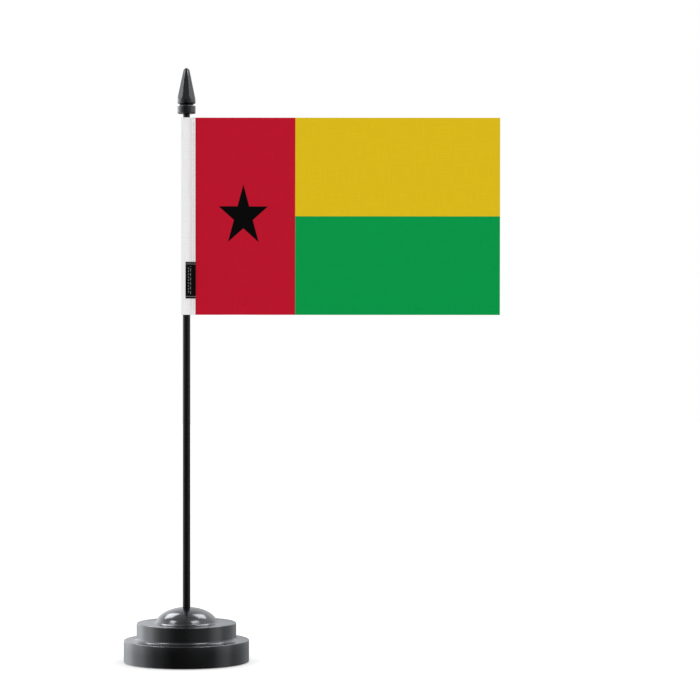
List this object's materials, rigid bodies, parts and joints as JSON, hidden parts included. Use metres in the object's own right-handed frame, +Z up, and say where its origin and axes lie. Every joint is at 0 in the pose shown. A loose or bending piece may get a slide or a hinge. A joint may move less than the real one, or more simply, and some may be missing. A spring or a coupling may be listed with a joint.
{
  "type": "desk flag stand",
  "caption": "Small cloth flag with a white sleeve on a slim black staff with a spear finial, standing in a round two-tier domed base.",
  "frame": {"origin": "on the desk, at the centre of the base's underside, on the staff's axis", "axes": "+Z up along the staff, +X from the staff towards the flag's free edge, -Y out of the flag's front face"},
  "size_m": [0.1919, 0.0638, 0.303],
  "materials": {
    "base_shell": "high gloss, black",
    "ballast_disc": "punched, lightly oiled",
    "bottom_plate": "fine matte texture, black",
    "bottom_screws": "zinc plated",
    "foot_pad": "matt black",
    "socket_bush": "natural nylon",
    "staff": "gloss, black",
    "finial": "gloss, black",
    "grip_ring": "matt black",
    "flag_panel": "printed polyester: a red band at the hoist with a black star, yellow over green at the fly",
    "flag_sleeve": "plain white polyester",
    "woven_label": "black woven tape",
    "hoist_seam": "white sewing thread"
  },
  "bodies": {
    "base": {"base_shell": "base_shell", "ballast_disc": "ballast_disc", "bottom_plate": "bottom_plate", "bottom_screws": "bottom_screws", "foot_pad": "foot_pad"},
    "bush": {"socket_bush": "socket_bush"},
    "staff": {"staff": "staff"},
    "finial": {"finial": "finial"},
    "ring": {"grip_ring": "grip_ring"},
    "flag": {"flag_panel": "flag_panel", "flag_sleeve": "flag_sleeve", "woven_label": "woven_label", "hoist_seam": "hoist_seam"}
  },
  "joints": [
    {"name": "staff_turn", "type": "hinge", "parent": "base", "child": "bush", "pos_m": [0, 0, 0.012], "axis": [0, 0, 1], "continuous": true},
    {"name": "staff_lift", "type": "slide", "parent": "bush", "child": "staff", "axis": [0, 0, 1], "range_m": [0, 0.03]},
    {"name": "finial_pull", "type": "slide", "parent": "staff", "child": "finial", "axis": [0, 0, 1], "range_m": [0, 0.01]},
    {"name": "flag_height", "type": "slide", "parent": "staff", "child": "ring", "axis": [0, 0, 1], "range_m": [-0.148, 0.0018]},
    {"name": "flag_swing", "type": "hinge", "parent": "ring", "child": "flag", "pos_m": [0, 0, 0.2274], "axis": [0, 0, 1], "continuous": true}
  ]
}
